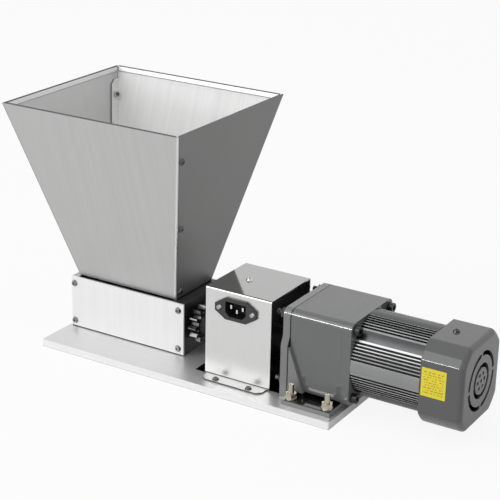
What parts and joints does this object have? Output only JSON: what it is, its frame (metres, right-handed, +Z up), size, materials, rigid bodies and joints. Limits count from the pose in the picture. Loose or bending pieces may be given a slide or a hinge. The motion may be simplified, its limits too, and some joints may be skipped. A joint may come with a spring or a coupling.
{
  "type": "electric grain mill",
  "caption": "Electric two-roller grain mill: sheet-metal hopper over fluted rollers, driven through a coupling box by a gear motor, all on one base plate.",
  "frame": {"origin": "centre of the base plate's underside", "axes": "+X from the hopper to the motor, along the motor shaft; +Z up; the mains inlet faces -Y"},
  "size_m": [0.522, 0.204, 0.2747],
  "materials": {
    "base_aluminium": "brushed along its length, satin",
    "brushed_stainless": "brushed, satin",
    "end_plate_light": "machined, satin",
    "end_plate_dark": "black oxide, satin",
    "roller_steel": "machined and fluted",
    "gear_steel": "milled, oiled",
    "bronze": "sintered bronze",
    "polished_stainless": "mirror polished",
    "bright_screw": "bright stainless",
    "dark_screw": "black oxide",
    "zinc_plate": "yellowish zinc plate",
    "inlet_plastic": "moulded, matte",
    "capacitor_case": "moulded case",
    "contact_metal": "nickel plated",
    "coupling_alloy": "turned alloy",
    "spider_rubber": "moulded elastomer",
    "gray_paint": "satin enamel",
    "cast_alloy": "die cast",
    "bearing_steel": "ground steel",
    "lamination_steel": "stacked laminations",
    "winding_copper": "enamelled copper",
    "fan_plastic": "moulded",
    "label_film": "printed film, no lettering"
  },
  "bodies": {
    "root": {"base_plate": "base_aluminium", "mill_left_plate": "end_plate_light", "mill_right_plate": "end_plate_dark", "mill_front_plate": "brushed_stainless", "mill_back_plate": "brushed_stainless", "cover_plate_screws": "bright_screw", "mill_foot_screws": "bright_screw", "left_bushes": "bronze", "right_bushes": "bronze", "hopper_front_sheet": "brushed_stainless", "hopper_back_sheet": "brushed_stainless", "hopper_screws": "bright_screw", "hopper_nuts": "bright_screw", "hopper_mount_screws": "bright_screw", "box_cover": "polished_stainless", "box_foot_screws": "dark_screw", "box_top_screw": "bright_screw", "run_capacitor": "capacitor_case", "inlet_socket": "inlet_plastic", "inlet_pins": "contact_metal", "inlet_screws": "bright_screw", "inlet_nuts": "bright_screw", "motor_bracket": "gray_paint", "bracket_studs": "zinc_plate", "bracket_nuts": "zinc_plate", "bracket_washers": "zinc_plate", "gearbox_housing": "gray_paint", "gearbox_mid_plate": "cast_alloy", "gearbox_bolts": "dark_screw", "gearbox_bolt_nuts": "dark_screw", "output_bearing": "bearing_steel", "motor_flange": "gray_paint", "rotor_bearings": "bearing_steel", "motor_housing": "gray_paint", "stator_core": "lamination_steel", "stator_windings": "winding_copper", "motor_end_bell": "cast_alloy", "fan_cover": "gray_paint", "fan_cover_screws": "bright_screw", "rating_label": "label_film"},
    "drive_line": {"drive_roller": "roller_steel", "drive_roller_gear": "gear_steel", "drive_gear_screw": "dark_screw", "coupling_hub_mill": "coupling_alloy", "coupling_spider": "spider_rubber", "coupling_hub_motor": "coupling_alloy", "coupling_screws": "dark_screw", "output_shaft": "gear_steel", "output_shaft_key": "gear_steel", "output_wheel": "gear_steel"},
    "driven_line": {"driven_roller": "roller_steel", "driven_roller_gear": "gear_steel", "driven_gear_screw": "dark_screw"},
    "intermediate_line": {"intermediate_shaft": "gear_steel", "intermediate_wheel": "gear_steel"},
    "rotor_line": {"rotor_shaft": "gear_steel", "rotor_core": "lamination_steel", "cooling_fan": "fan_plastic"}
  },
  "joints": [
    {"name": "drive_spin", "type": "hinge", "parent": "root", "child": "drive_line", "pos_m": [0, 0, 0.041], "axis": [1, 0, 0], "continuous": true},
    {"name": "driven_spin", "type": "hinge", "parent": "root", "child": "driven_line", "pos_m": [0, 0.036, 0.041], "axis": [1, 0, 0], "continuous": true},
    {"name": "intermediate_spin", "type": "hinge", "parent": "root", "child": "intermediate_line", "pos_m": [0, 0.02225, 0.05], "axis": [1, 0, 0], "continuous": true},
    {"name": "rotor_spin", "type": "hinge", "parent": "root", "child": "rotor_line", "pos_m": [0, 0, 0.059], "axis": [1, 0, 0], "continuous": true}
  ],
  "couplings": [
    {"joint": "driven_spin", "follows": "drive_spin", "ratio": -1},
    {"joint": "intermediate_spin", "follows": "drive_spin", "ratio": -3},
    {"joint": "rotor_spin", "follows": "drive_spin", "ratio": 9}
  ]
}
